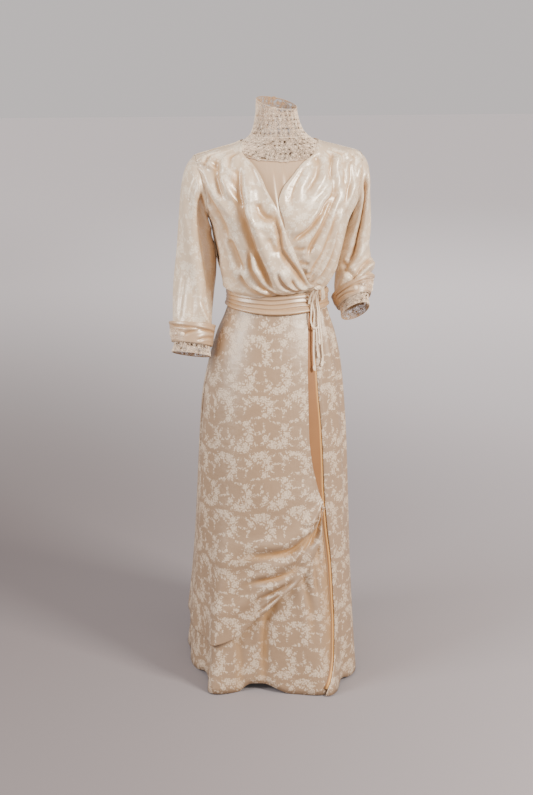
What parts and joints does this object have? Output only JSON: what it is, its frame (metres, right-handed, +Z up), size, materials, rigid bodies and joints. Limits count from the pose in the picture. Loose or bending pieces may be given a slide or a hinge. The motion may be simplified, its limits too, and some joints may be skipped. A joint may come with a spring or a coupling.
{
  "type": "tea gown",
  "caption": "Floor-length silk tea gown with a lace collar and yoke, crossed bodice, turned-back cuffs, tied sash and a draped overskirt caught up at one knee.",
  "frame": {"origin": "between the shoulders, at the height where they carry the gown", "axes": "+Z up, -Y the wearer's front, +X the wearer's left"},
  "size_m": [0.5109, 0.5527, 1.439],
  "materials": {
    "figured_satin": "cream silk satin with a woven flower figure",
    "plain_satin": "plain cream silk satin",
    "placket": "plain peach silk",
    "lace": "ivory cotton crochet lace"
  },
  "bodies": {
    "root": {"collar_front": "lace", "collar_back": "lace", "yoke_front": "lace", "yoke_back": "lace", "chemisette": "plain_satin", "bodice_right_front": "figured_satin", "bodice_left_front": "figured_satin", "bodice_back": "figured_satin", "sleeve_right": "figured_satin", "sleeve_left": "figured_satin", "cuff_right": "plain_satin", "cuff_left": "plain_satin", "lace_cuff_right": "lace", "lace_cuff_left": "lace", "cuff_trim_right": "lace", "cuff_trim_left": "lace", "cuff_button_right_1": "lace", "cuff_button_right_2": "lace", "cuff_button_left_1": "lace", "cuff_button_left_2": "lace", "sash": "plain_satin", "tie_knot": "plain_satin", "tie_loop_wide": "plain_satin", "tie_loop_short": "plain_satin", "tie_loop_long": "plain_satin", "tie_end_upper": "plain_satin", "tie_end_middle": "plain_satin", "tie_end_outer": "plain_satin", "tie_end_long": "plain_satin", "underskirt_front": "figured_satin", "underskirt_back": "figured_satin", "placket": "placket", "overskirt_front": "figured_satin", "overskirt_back": "figured_satin", "left_panel": "figured_satin"}
  },
  "joints": []
}
